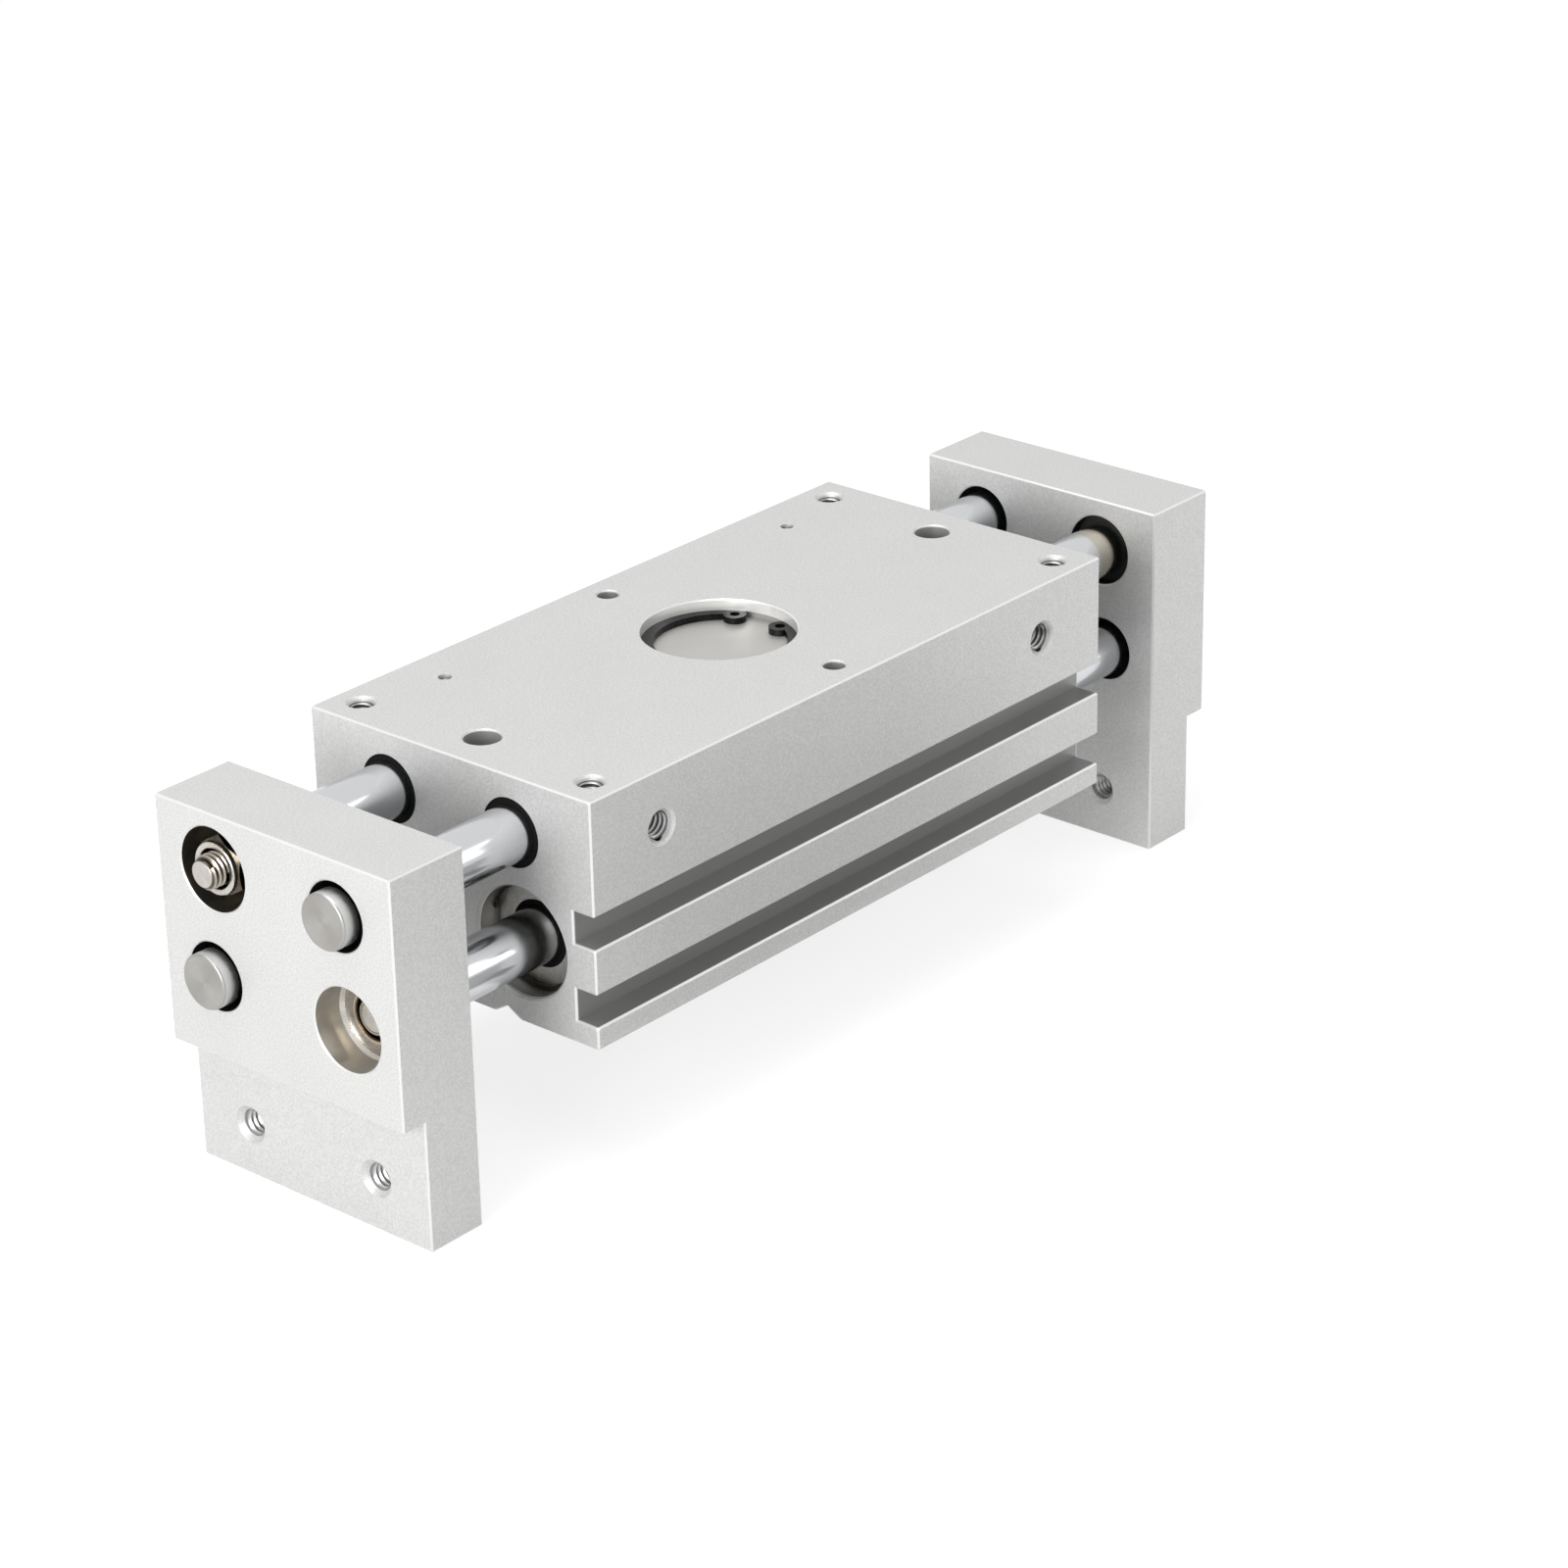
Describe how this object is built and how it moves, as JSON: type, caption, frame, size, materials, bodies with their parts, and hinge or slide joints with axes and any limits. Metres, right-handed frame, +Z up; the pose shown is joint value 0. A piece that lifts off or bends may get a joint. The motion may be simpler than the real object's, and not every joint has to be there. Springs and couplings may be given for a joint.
{
  "type": "wide opening pneumatic gripper",
  "caption": "Wide opening parallel gripper with two plate fingers on rods, twin air cylinders and a rack and pinion that keeps the fingers in step.",
  "frame": {"origin": "midway between the fingers, on the surface that the finger ends stand on", "axes": "+X along the rods, -Y towards the face with the air ports and sensor slots, +Z up to the mounting face"},
  "size_m": [0.225, 0.065, 0.0698],
  "materials": {
    "anodised_aluminium": "bead-blasted, clear anodised, matt",
    "turned_aluminium": "turned, clear anodised",
    "hard_chrome": "ground and hard chromed, mirror bright",
    "black_rubber": "matt black nitrile rubber",
    "black_spring_steel": "black phosphated spring steel",
    "nickel_plated_steel": "warm nickel plate",
    "nickel_plated_disc": "fine turned, pale warm nickel plate",
    "sintered_bronze": "oil-filled sintered bronze",
    "hardened_steel": "ground, hardened steel",
    "acetal": "white acetal",
    "magnet_compound": "plastic bonded magnet"
  },
  "bodies": {
    "housing": {"body_block": "anodised_aluminium", "bumpers": "black_rubber", "cover_gaskets": "black_rubber", "cover_ring_left_back": "black_spring_steel", "cover_ring_left_front": "black_spring_steel", "cover_ring_right_back": "black_spring_steel", "cover_ring_right_front": "black_spring_steel", "passage_balls": "hardened_steel", "pinion_cover": "nickel_plated_disc", "pinion_cover_ring": "black_spring_steel", "pinion_cover_seal": "black_rubber", "pinion_shaft": "hardened_steel", "rack_bush_left_back": "sintered_bronze", "rack_bush_left_front": "sintered_bronze", "rack_bush_right_back": "sintered_bronze", "rack_bush_right_front": "sintered_bronze", "rack_scraper_left_back": "black_rubber", "rack_scraper_left_front": "black_rubber", "rack_scraper_right_back": "black_rubber", "rack_scraper_right_front": "black_rubber", "rod_bush_left_back": "sintered_bronze", "rod_bush_left_front": "sintered_bronze", "rod_bush_right_back": "sintered_bronze", "rod_bush_right_front": "sintered_bronze", "rod_cover_left_back": "turned_aluminium", "rod_cover_left_front": "turned_aluminium", "rod_cover_right_back": "turned_aluminium", "rod_cover_right_front": "turned_aluminium", "rod_seal_left_back": "black_rubber", "rod_seal_left_front": "black_rubber", "rod_seal_right_back": "black_rubber", "rod_seal_right_front": "black_rubber", "thrust_washers": "sintered_bronze"},
    "left_jaw": {"finger_left": "anodised_aluminium", "rack_rod_left": "hard_chrome", "piston_rod_left": "hard_chrome", "piston_left": "turned_aluminium", "piston_seals_left": "black_rubber", "wear_ring_left": "acetal", "magnet_left": "magnet_compound", "piston_clips_left": "black_spring_steel", "rack_nut_left": "nickel_plated_steel", "piston_nut_left": "nickel_plated_steel", "joint_washers_left": "nickel_plated_steel"},
    "right_jaw": {"finger_right": "anodised_aluminium", "rack_rod_right": "hard_chrome", "piston_rod_right": "hard_chrome", "piston_right": "turned_aluminium", "piston_seals_right": "black_rubber", "wear_ring_right": "acetal", "magnet_right": "magnet_compound", "piston_clips_right": "black_spring_steel", "rack_nut_right": "nickel_plated_steel", "piston_nut_right": "nickel_plated_steel", "joint_washers_right": "nickel_plated_steel"},
    "pinion": {"pinion": "hardened_steel"}
  },
  "joints": [
    {"name": "left_jaw_slide", "type": "slide", "parent": "housing", "child": "left_jaw", "axis": [-1, 0, 0], "range_m": [-0.024, 0.026]},
    {"name": "right_jaw_slide", "type": "slide", "parent": "housing", "child": "right_jaw", "axis": [1, 0, 0], "range_m": [-0.024, 0.026]},
    {"name": "pinion_spin", "type": "hinge", "parent": "housing", "child": "pinion", "pos_m": [0, 0, 0.0593], "axis": [0, 0, 1], "range_deg": [-125.1, 135.5]}
  ],
  "couplings": [
    {"joint": "right_jaw_slide", "follows": "left_jaw_slide", "ratio": 1},
    {"joint": "pinion_spin", "follows": "left_jaw_slide", "rad_per_m": 90.909}
  ]
}
